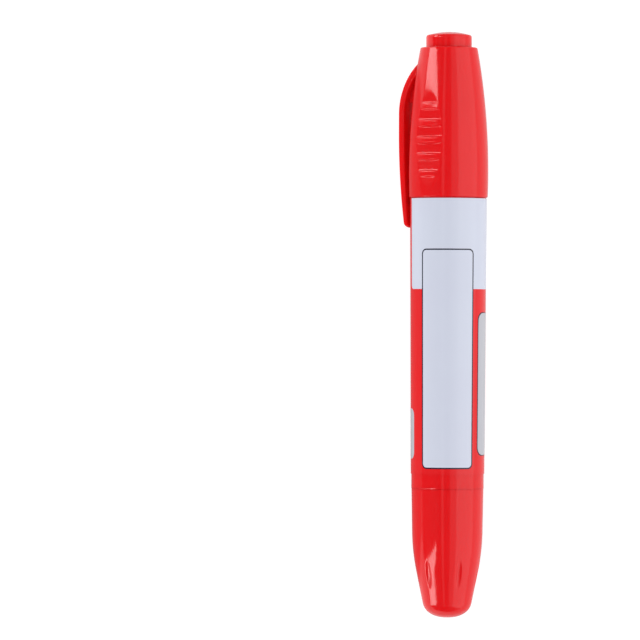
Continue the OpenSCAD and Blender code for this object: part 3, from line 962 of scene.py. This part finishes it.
@dataclass
class Barrel:
    """The barrel with its neck, and the printed film around it. Lengths are in millimetres."""

    shop: Workshop
    rear_r: float = 8.66
    front_r: float = 9.03
    bore_r: float = 7.6
    neck_r: float = 7.95
    neck_bore_r: float = 7.1
    front_bore_back: float = 3.35
    bead_place: float = 2.9
    bead_h: float = 0.05
    guide_count: int = 6
    guide_t: float = 0.8
    guide_in_r: float = 6.91
    film_t: float = 0.12
    layer_t: float = 0.016
    outline_t: float = 0.33

    def surface(self, station: float) -> float:
        """Radius of the bare barrel at a station."""
        at = self.shop.at
        share = (station - at.film_start) / (at.lip - 0.05 - at.film_start)
        return self.rear_r + (self.front_r - self.rear_r) * min(max(share, 0), 1)

    def shell(self) -> None:
        """Turns the barrel and stands its guide ribs in the bore."""
        at = self.shop.at
        front = at.lip - 0.05
        step = at.lip - self.front_bore_back
        bead = front + self.bead_place
        path = [(at.seam, self.bore_r), (at.seam, self.rear_r - 0.02), (at.seam + 0.06, self.rear_r)]
        path += [(station, self.rear_r) for station in spread(at.seam + 0.5, at.film_start, 0.5)]
        path += [(s, self.surface(s)) for s in spread(at.film_start, front, 4)[1:]]
        shoulder = len(path) - 1
        path += [(front, self.neck_r), (bead - 0.6, self.neck_r), (bead - 0.3, self.neck_r + self.bead_h)]
        path += [(bead + 0.3, self.neck_r + self.bead_h), (bead + 0.6, self.neck_r)]
        path += [(at.neck_end, self.neck_r), (at.neck_end, self.neck_bore_r)]
        path += [(step, self.neck_bore_r), (step - 0.4, self.bore_r), (at.seam, self.bore_r)]
        neck_corner = path.index((at.neck_end, self.neck_r))
        profile = rounded(path, {shoulder: 0.1, neck_corner: 0.2})
        barrel = Bench.lathe("barrel_skin", self.shop.axis, profile, 240)
        spigot_end = self.shop.axis.station(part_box("tail_cup")[1])
        outline = [
            (spigot_end + 1, self.guide_in_r), (step - 1.1, self.guide_in_r),
            (step - 1.1, self.bore_r + 0.4), (spigot_end + 1, self.bore_r + 0.4),
        ]
        guides = [
            Bench.plate(
                f"guide_rib_{i}", self.shop.axis, outline,
                Cap.clip_angle + i * 360 / self.guide_count, self.guide_t,
            )
            for i in range(self.guide_count)
        ]
        Bench.smooth(Bench.join(barrel, guides))
        self.shop.deliver(barrel, Finish.RED_SHELL, "pen", "coloured_shell", "barrel")

    def film(self) -> None:
        """Turns the thin film, red all over under its printed areas."""
        at = self.shop.at
        stations = spread(at.film_start, at.film_end, 4)
        inside = [(station, self.surface(station) + 0.02) for station in stations]
        outside = [(station, radius + self.film_t) for station, radius in inside]
        path = inside[::-1] + outside + [inside[-1]]
        film = Bench.smooth(Bench.lathe("label_film_skin", self.shop.axis, path, 288))
        self.shop.deliver(film, Finish.RED_PRINT, "pen", "label_print", "label_film")

    def areas(self) -> list[PrintArea]:
        """The plain areas of the print, each with its finish."""
        end = self.shop.at.film_end
        panel = (35.7, 88.1, -43.7, 41.0)
        inset = self.outline_t
        turn = math.degrees(inset / (self.surface(60) + self.film_t))
        return [
            PrintArea("white_field", Finish.WHITE_PRINT, 78.5, end + 2, -73, 197, 1.1, 1, True),
            PrintArea("panel_outline", Finish.DARK_PRINT, *panel, 1.3, 2),
            PrintArea(
                "panel", Finish.WHITE_PRINT, panel[0] + inset, panel[1] - inset,
                panel[2] + turn, panel[3] - turn, 1.3 - inset, 3,
            ),
            PrintArea("left_plate", Finish.GREY_PRINT, 38, 50, -94, -65, 1.7, 1),
            PrintArea("right_strip_shade", Finish.DARK_PRINT, 38.8, 73, 51.4, 89, 1.9, 1),
            PrintArea("right_strip", Finish.GREY_PRINT, 39, 72.8, 53, 91, 1.9, 2),
        ]

    def lay(self, area: PrintArea) -> None:
        """Cuts one area flat, rounds its corners and wraps it around the film.

        Args:
            area: The area.
        """
        axis = self.shop.axis
        middle = (area.left + area.right) / 2
        mean_r = self.surface((area.first + area.last) / 2) + self.film_t
        width = math.radians(area.right - area.left) * mean_r
        length = area.last - area.first
        Bench.only(None)
        bpy.ops.mesh.primitive_plane_add(size=MM)
        patch = bpy.context.object
        patch.name = patch.data.name = area.name
        bpy.ops.object.mode_set(mode="EDIT")
        bpy.ops.mesh.select_mode(type="VERT")
        bpy.ops.mesh.select_all(action="SELECT")
        bpy.ops.transform.resize(value=(length, width, 1))
        bpy.ops.mesh.bevel(offset=area.corner * MM, segments=8, affect="VERTICES")
        for cut in spread(-width / 2, width / 2, mean_r * math.radians(1.5))[1:-1]:
            bpy.ops.mesh.select_all(action="SELECT")
            bpy.ops.mesh.bisect(plane_co=(0, cut * MM, 0), plane_no=(0, 1, 0))
        if area.runs_under_cap:
            past = self.shop.at.film_end - 0.01 - (area.first + area.last) / 2
            bpy.ops.mesh.select_all(action="SELECT")
            bpy.ops.mesh.bisect(
                plane_co=(past * MM, 0, 0), plane_no=(1, 0, 0), clear_outer=True
            )
        bpy.ops.object.mode_set(mode="OBJECT")
        for vertex in patch.data.vertices:
            station = (area.first + area.last) / 2 + vertex.co.x / MM
            turn = middle + math.degrees(vertex.co.y / MM / mean_r)
            radius = self.surface(station) + 0.02 + self.film_t + area.layer * self.layer_t
            vertex.co = axis.point(station, radius, turn)
        bpy.ops.object.mode_set(mode="EDIT")
        bpy.ops.mesh.select_all(action="SELECT")
        bpy.ops.mesh.flip_normals()
        bpy.ops.object.mode_set(mode="OBJECT")
        solid = patch.modifiers.new("sheet", "SOLIDIFY")
        solid.thickness = self.layer_t * MM
        solid.offset = -1
        Bench.apply(patch, "sheet")
        Bench.smooth(patch)
        self.shop.deliver(patch, area.finish, "pen", "label_print")

    def build(self) -> None:
        """Makes the barrel, its film and the printed areas."""
        self.shell()
        self.film()
        for area in self.areas():
            self.lay(area)


# ---------------------------------------------------------------------------------------------
# Nib end and ink reservoir
# ---------------------------------------------------------------------------------------------


@dataclass
class NibEnd:
    """The nib holder and the bullet nib. Lengths are in millimetres."""

    shop: Workshop
    body_r: float = 7.08
    flange_r: float = 7.95
    flange_t: float = 1.2
    seal_r: float = 5
    seal_length: float = 5.8
    nose_r: float = 3.42
    nib_r: float = 2.5
    nib_tip: float = 3.4
    wall: float = 0.9

    def holder(self) -> None:
        """Turns the nib holder."""
        axis, at = self.shop.axis, self.shop.at
        low, high = (axis.station(corner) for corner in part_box("nib_holder"))
        back = at.neck_end + 0.02
        front = back + self.flange_t
        seal = front + self.seal_length
        bore = self.nib_r + 0.02
        path = [(low, self.body_r - self.wall), (low, self.body_r), (back, self.body_r)]
        path += [(back, self.flange_r), (front, self.flange_r), (front, self.seal_r)]
        path += [(seal, self.seal_r), (high, self.nose_r), (high, bore), (low, bore)]
        path += [(low, self.nose_r), (at.neck_end - self.wall, self.nose_r)]
        path += [(at.neck_end - self.wall, self.body_r - self.wall), (low, self.body_r - self.wall)]
        profile = rounded(path, {3: 0.15, 4: 0.25, 5: 0.3, 6: 0.5, 7: 0.4, 8: 0.1})
        holder = Bench.smooth(Bench.lathe("nib_holder_skin", axis, profile))
        self.shop.deliver(holder, Finish.NATURAL, "pen", "natural_plastic", "nib_holder")

    def nib(self) -> None:
        """Turns the bullet nib."""
        axis = self.shop.axis
        low, high = (axis.station(corner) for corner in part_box("nib"))
        tip = [
            (high - self.nib_tip * (1 - math.sin(turn)), self.nib_r * math.cos(turn) ** 0.9)
            for turn in spread(0, math.pi / 2, 0.08)
        ]
        path = [(low, 0), (low, self.nib_r)] + tip[:-1] + [(high, 0)]
        nib = Bench.smooth(Bench.lathe("nib_skin", axis, rounded(path, {1: 0.3}), 96))
        self.shop.deliver(nib, Finish.NIB_FIBRE, "pen", "nib_fibre", "nib")

    def build(self) -> None:
        """Makes both pieces."""
        self.holder()
        self.nib()


@dataclass
class Reservoir:
    """The fibre core that holds the ink, and the clear film around it."""

    shop: Workshop
    nib_r: float = 2.52
    nib_depth: float = 5.02

    def build(self) -> None:
        """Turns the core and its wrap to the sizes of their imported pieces."""
        axis = self.shop.axis
        for name, finish, slot in (
            ("reservoir_core", Finish.INK_FIBRE, "ink_fibre"),
            ("reservoir_wrap", Finish.WRAP, "clear_wrap"),
        ):
            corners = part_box(name)
            low, high = (axis.station(corner) for corner in corners)
            radius = (corners[1].z - corners[0].z) / 2 / MM
            if name == "reservoir_core":
                path = [(low, 0), (low, radius), (high, radius), (high, self.nib_r)]
                path += [(high - self.nib_depth, self.nib_r), (high - self.nib_depth, 0)]
                path = rounded(path, {1: 0.5, 2: 0.5})
            else:
                inner = radius - 0.23
                path = [(low, inner), (low, radius), (high, radius), (high, inner), (low, inner)]
            piece = Bench.smooth(Bench.lathe(f"{name}_skin", axis, path, 128))
            self.shop.deliver(piece, finish, "pen", slot, name)


# ---------------------------------------------------------------------------------------------
# Tail
# ---------------------------------------------------------------------------------------------


@dataclass
class Tail:
    """The tail cup with its rounded end, its dimples and its spigot. Lengths in millimetres."""

    shop: Workshop
    seam_r: float = 8.61
    draft: float = 0.26
    taper: float = 3.2
    taper_length: float = 15.9
    blend_r: float = 50
    dome_h: float = 3.6
    dome_power: float = 2.4
    wall: float = 1.4
    spigot_r: float = 7.56
    spigot_wall: float = 0.65
    fin_t: float = 1
    fin_count: int = 4
    dimple_count: int = 6
    dimple_turn: float = 25
    dimple_place: float = 10.6
    dimple_length: float = 7
    dimple_width: float = 1.6
    dimple_depth: float = 0.34

    def taper_surface(self, station: float) -> float:
        """Radius of the tapered stretch, before it is rounded."""
        return self.seam_r - self.draft - self.taper * (1 - station / self.taper_length)

    def dome_surface(self, station: float) -> float:
        """Radius of the rounded end."""
        power = self.dome_power
        share = 1 - abs(1 - station / self.dome_h) ** power
        return self.taper_surface(station) * max(share, 0) ** (1 / power)

    def _dimple_share(self, place: Vector) -> float:
        """How much of the dimples' depth a place on the tail gets, from 0 to 1."""
        axis = self.shop.axis
        station, radius = axis.station(place), axis.radius(place)
        if abs(station - self.dimple_place) > self.dimple_length:
            return 0
        if radius < self.taper_surface(station) - 0.6:
            return 0
        pitch = 360 / self.dimple_count
        turn = (axis.angle(place) - Cap.clip_angle - self.dimple_turn) % pitch
        aside = math.radians(min(turn, pitch - turn)) * radius
        along = (station - self.dimple_place) / (self.dimple_length / 2)
        return max(1 - along**2 - (aside / (self.dimple_width / 2)) ** 2, 0)

    def build(self) -> None:
        """Turns the cup, presses its dimples and stands the stop fins inside it."""
        axis, at = self.shop.axis, self.shop.at
        spigot_end = axis.station(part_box("tail_cup")[1])
        rim = at.seam - 0.02
        floor = 1.4
        stop = self.taper_length + self.fin_t
        inner = self.spigot_r - self.spigot_wall
        dome = [
            (station, self.dome_surface(station))
            for station in (self.dome_h * (1 - math.cos(turn)) for turn in spread(0, math.pi / 2, 0.06))
        ]
        bend = (self.taper_length, self.seam_r - self.draft)
        blend = rounded([dome[-1], bend, (at.seam, self.seam_r)], {1: self.blend_r}, 40)[1:-1]
        slope = (blend[0][1] - dome[-1][1]) / (blend[0][0] - dome[-1][0])
        lower = [
            (s, dome[-1][1] + slope * (s - dome[-1][0])) for s in spread(dome[-1][0], blend[0][0], 0.14)
        ]
        rise = (self.seam_r - blend[-1][1]) / (at.seam - blend[-1][0])
        upper = [
            (s, blend[-1][1] + rise * (s - blend[-1][0])) for s in spread(blend[-1][0], rim, 0.6)
        ]
        path = [(0, 0)] + dome[1:-1] + lower + blend[1:-1] + upper
        corner = len(path) - 1
        path += [(rim, self.spigot_r), (spigot_end, self.spigot_r), (spigot_end, inner)]
        path += [(stop, inner), (self.dome_h, self.taper_surface(self.dome_h) - self.wall)]
        path += [(floor, self.taper_surface(self.dome_h) - self.wall - 1), (floor, 0)]
        profile = rounded(path, {corner: 0.02, corner + 2: 0.2})
        cup = Bench.lathe("tail_cup_skin", axis, profile, 300)
        Bench.press(cup, "dimples", self.dimple_depth, self._dimple_share)
        wall_r = self.taper_surface(self.dome_h) - self.wall / 2
        outline = [
            (1.3, 2.5), (1.3, wall_r - self.wall), (self.dome_h, wall_r),
            (stop - self.fin_t, inner + 0.3), (stop, inner), (stop, 2.5),
        ]
        fins = [
            Bench.plate(f"fin_{i}", axis, outline, Cap.clip_angle + i * 360 / self.fin_count, self.fin_t)
            for i in range(self.fin_count)
        ]
        Bench.smooth(Bench.join(cup, fins))
        self.shop.deliver(cup, Finish.RED_SHELL, "tail", "coloured_shell", "tail_cup")


# ---------------------------------------------------------------------------------------------
# Studio
# ---------------------------------------------------------------------------------------------


def away_from_marker(across: float, along: float) -> Vector:
    """The direction at two angles from straight up: across, towards -Y, and along, towards +X."""
    turn, lean = math.radians(across), math.radians(along)
    return Vector(
        (math.sin(lean), -math.cos(lean) * math.sin(turn), math.cos(lean) * math.cos(turn))
    )


@dataclass(frozen=True)
class Softbox:
    """A softbox aimed at the marker.

    Its middle is given by two angles from straight up over the marker: across, towards -Y, and
    along, towards +X. Its width and length are angles too, as the marker sees them.
    """

    name: str
    across: float
    along: float
    width: float
    length: float
    brightness: float
    matt: bool = True
    gloss: bool = True
    distance: float = 1.6

    def place(self, middle: Vector) -> None:
        """Adds the lamp and aims it at a place."""
        away = away_from_marker(self.across, self.along)
        data = bpy.data.lights.new(self.name, "AREA")
        data.shape = "RECTANGLE"
        data.size = 2 * self.distance * math.tan(math.radians(self.length / 2))
        data.size_y = 2 * self.distance * math.tan(math.radians(self.width / 2))
        data.energy = self.brightness * math.pi * data.size * data.size_y
        lamp = bpy.data.objects.new(self.name, data)
        bpy.context.scene.collection.objects.link(lamp)
        side = (Vector((1, 0, 0)) - away * away.x).normalized()
        turn = Matrix((side, away.cross(side), away)).transposed()
        lamp.matrix_world = Matrix.Translation(middle + away * self.distance) @ turn.to_4x4()
        lamp.visible_camera = False
        lamp.visible_diffuse = self.matt
        lamp.visible_glossy = self.gloss


@dataclass(frozen=True)
class GlossCard:
    """A glowing card that shows only as a highlight on glossy pieces.

    Its corners are given as angles across and along, as the marker sees them from a station.
    """

    name: str
    station: float
    corners: tuple[tuple[float, float], ...]
    brightness: float
    distance: float = 1.6

    def place(self, axis: Axis) -> None:
        """Cuts the card from its corners and lights it."""
        aims = [away_from_marker(*corner) for corner in self.corners]
        facing = sum(aims, Vector()).normalized()
        middle = axis.point(self.station, 0)
        places = [middle + aim * (self.distance / aim.dot(facing)) for aim in aims]
        card = Bench.chain(self.name, places)
        bpy.ops.mesh.edge_face_add()
        bpy.ops.object.mode_set(mode="OBJECT")
        material = bpy.data.materials.new(self.name)
        material.use_nodes = True
        tree = material.node_tree
        glow = tree.nodes.new("ShaderNodeEmission")
        glow.inputs["Strength"].default_value = self.brightness
        tree.links.new(glow.outputs["Emission"], tree.nodes["Material Output"].inputs["Surface"])
        card.data.materials.append(material)
        card.visible_camera = False
        card.visible_diffuse = False
        card.visible_transmission = False
        card.visible_shadow = False


@dataclass
class Studio:
    """The pale table, the lamps and the camera. Lengths are in metres."""

    axis: Axis
    camera_distance: float = 1.24
    view_width: float = 0.1531
    aim_ahead: float = 0.07102
    aim_aside: float = 0.03062
    lean: float = 1
    tilt: float = 0.2

    def floor(self) -> None:
        """Adds the white table top, which keeps the marker's soft shadow. In reflections it shows painted
        light instead: a glow that is dim on the clip's side alongside the marker and brighter elsewhere.
        """
        Bench.only(None)
        bpy.ops.mesh.primitive_plane_add(size=14)
        table = bpy.context.object
        table.name = "table_top"
        material = bpy.data.materials.new("table_white")
        material.use_nodes = True
        tree = material.node_tree
        shader = tree.nodes["Principled BSDF"]
        shader.inputs["Base Color"].default_value = (0.32, 0.32, 0.32, 1)
        shader.inputs["Roughness"].default_value = 0.9
        shader.inputs["Specular IOR Level"].default_value = 0
        glow = tree.nodes.new("ShaderNodeEmission")
        glow.inputs["Strength"].default_value = 0.83
        both = tree.nodes.new("ShaderNodeAddShader")
        tree.links.new(shader.outputs["BSDF"], both.inputs[0])
        tree.links.new(glow.outputs["Emission"], both.inputs[1])
        # Painted reflection: glossy rays see a glow in place of the lit table. On the clip's side it is a
        # painted shade of 0.24 alongside the marker and 0.88 past its ends; on the other side it is 0.65.
        split = tree.nodes.new("ShaderNodeSeparateXYZ")
        tree.links.new(tree.nodes.new("ShaderNodeTexCoord").outputs["Object"], split.inputs[0])
        side = map_range(tree, split.outputs["Y"], -0.02, 0.02)
        side.inputs["To Min"].default_value = 0.65
        away = arithmetic(tree, "ABSOLUTE", split.outputs["X"], 0)
        ends = map_range(tree, away, 0.061, 0.067)
        ends.inputs["To Min"].default_value = 0.24
        ends.inputs["To Max"].default_value = 0.88
        tree.links.new(ends.outputs["Result"], side.inputs["To Max"])
        reflected = tree.nodes.new("ShaderNodeEmission")
        tree.links.new(side.outputs["Result"], reflected.inputs["Color"])
        path = tree.nodes.new("ShaderNodeLightPath")
        mix = tree.nodes.new("ShaderNodeMixShader")
        tree.links.new(path.outputs["Is Glossy Ray"], mix.inputs["Fac"])
        tree.links.new(both.outputs["Shader"], mix.inputs[1])
        tree.links.new(reflected.outputs["Emission"], mix.inputs[2])
        tree.links.new(mix.outputs["Shader"], tree.nodes["Material Output"].inputs["Surface"])
        table.data.materials.append(material)

    @staticmethod
    def _seen(path: bpy.types.Node) -> bpy.types.NodeSocket:
        """A share that is 1 for what the camera sees, straight or through a clear piece."""
        tree = path.id_data
        return arithmetic(
            tree, "MAXIMUM", path.outputs["Is Camera Ray"], path.outputs["Is Transmission Ray"]
        )

    def world(self) -> None:
        """Sets a plain room: even for soft light, white to look at, and dim in reflections."""
        world = bpy.data.worlds.new("room")
        bpy.context.scene.world = world
        world.use_nodes = True
        tree = world.node_tree
        tree.nodes.clear()
        split = tree.nodes.new("ShaderNodeSeparateXYZ")
        tree.links.new(tree.nodes.new("ShaderNodeTexCoord").outputs["Generated"], split.inputs[0])
        side = map_range(tree, split.outputs["Y"], -0.85, 0.3)
        side.inputs["To Min"].default_value = 0.3
        side.inputs["To Max"].default_value = 0.03
        path = tree.nodes.new("ShaderNodeLightPath")
        even, reflected, plain = (tree.nodes.new("ShaderNodeBackground") for _ in range(3))
        even.inputs["Color"].default_value = (0.97, 0.98, 1, 1)
        even.inputs["Strength"].default_value = 0.62
        tree.links.new(side.outputs["Result"], reflected.inputs["Color"])
        plain.inputs["Color"].default_value = (1, 1, 1, 1)
        shown = even.outputs["Background"]
        for share, other in (
            (path.outputs["Is Glossy Ray"], reflected),
            (self._seen(path), plain),
        ):
            mix = tree.nodes.new("ShaderNodeMixShader")
            tree.links.new(share, mix.inputs["Fac"])
            tree.links.new(shown, mix.inputs[1])
            tree.links.new(other.outputs["Background"], mix.inputs[2])
            shown = mix.outputs["Shader"]
        out = tree.nodes.new("ShaderNodeOutputWorld")
        tree.links.new(shown, out.inputs["Surface"])

    def lamps(self) -> None:
        """Places the softboxes: two on the clip's side with a gap between, a weak wide one opposite."""
        middle = self.axis.point(self.aim_ahead / MM, 0)
        for box in (
            Softbox("wide_softbox", 60, 0, 62, 96, 0.88),
            Softbox("clip_side_fill", -60, 0, 62, 96, 0.9, gloss=False),
            Softbox("thin_overhead", -16, 0, 7, 90, 0.45, matt=False),
            Softbox("wide_overhead", 19, 0, 22, 90, 0.35, matt=False),
        ):
            box.place(middle)
        for card in (
            GlossCard(
                "cap_card", 121,
                ((-37, 11), (-40, 17), (-50, 20.5), (-70, 38), (-86, 38), (-86, 13), (-66, 13.2)), 5.6,
            ),
            GlossCard(
                "tail_card", 11,
                ((-36, -9.5), (-44, -19.5), (-55, -24), (-57, -28), (-86, -28), (-86, -17)), 5.4,
            ),
        ):
            card.place(self.axis)

    def camera(self) -> None:
        """Looks straight down on the marker from far off, with the cap end up."""
        back = self.axis.outward(self.lean)
        up = Vector((1, 0, 0))
        turn = Matrix((up.cross(back), up, back)).transposed()
        roll = Matrix.Rotation(math.radians(self.tilt), 3, "Z")
        data = bpy.data.cameras.new("camera")
        data.sensor_width = 36
        data.lens = data.sensor_width * self.camera_distance / self.view_width
        data.clip_end = self.camera_distance * 4
        camera = bpy.data.objects.new("camera", data)
        bpy.context.scene.collection.objects.link(camera)
        target = self.axis.point(self.aim_ahead / MM, 0) + Vector((0, self.aim_aside, 0))
        place = Matrix.Translation(target + back * self.camera_distance)
        camera.matrix_world = place @ (turn @ roll).to_4x4()
        bpy.context.scene.camera = camera

    def build(self) -> None:
        """Sets the whole stage."""
        bpy.context.scene.view_settings.view_transform = "Standard"
        self.floor()
        self.world()
        self.lamps()
        self.camera()


def main() -> None:
    """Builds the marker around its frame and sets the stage."""
    logging.basicConfig(level=logging.INFO, format="%(name)s: %(message)s")
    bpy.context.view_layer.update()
    axis = Axis.of_frame()
    shop = Workshop(axis, Stations.of_frame(axis))
    Studio(axis).build()
    for assembly in (Cap(shop), Barrel(shop), NibEnd(shop), Reservoir(shop), Tail(shop)):
        assembly.build()
    Bench.only(None)


if __name__ == "__main__":
    main()
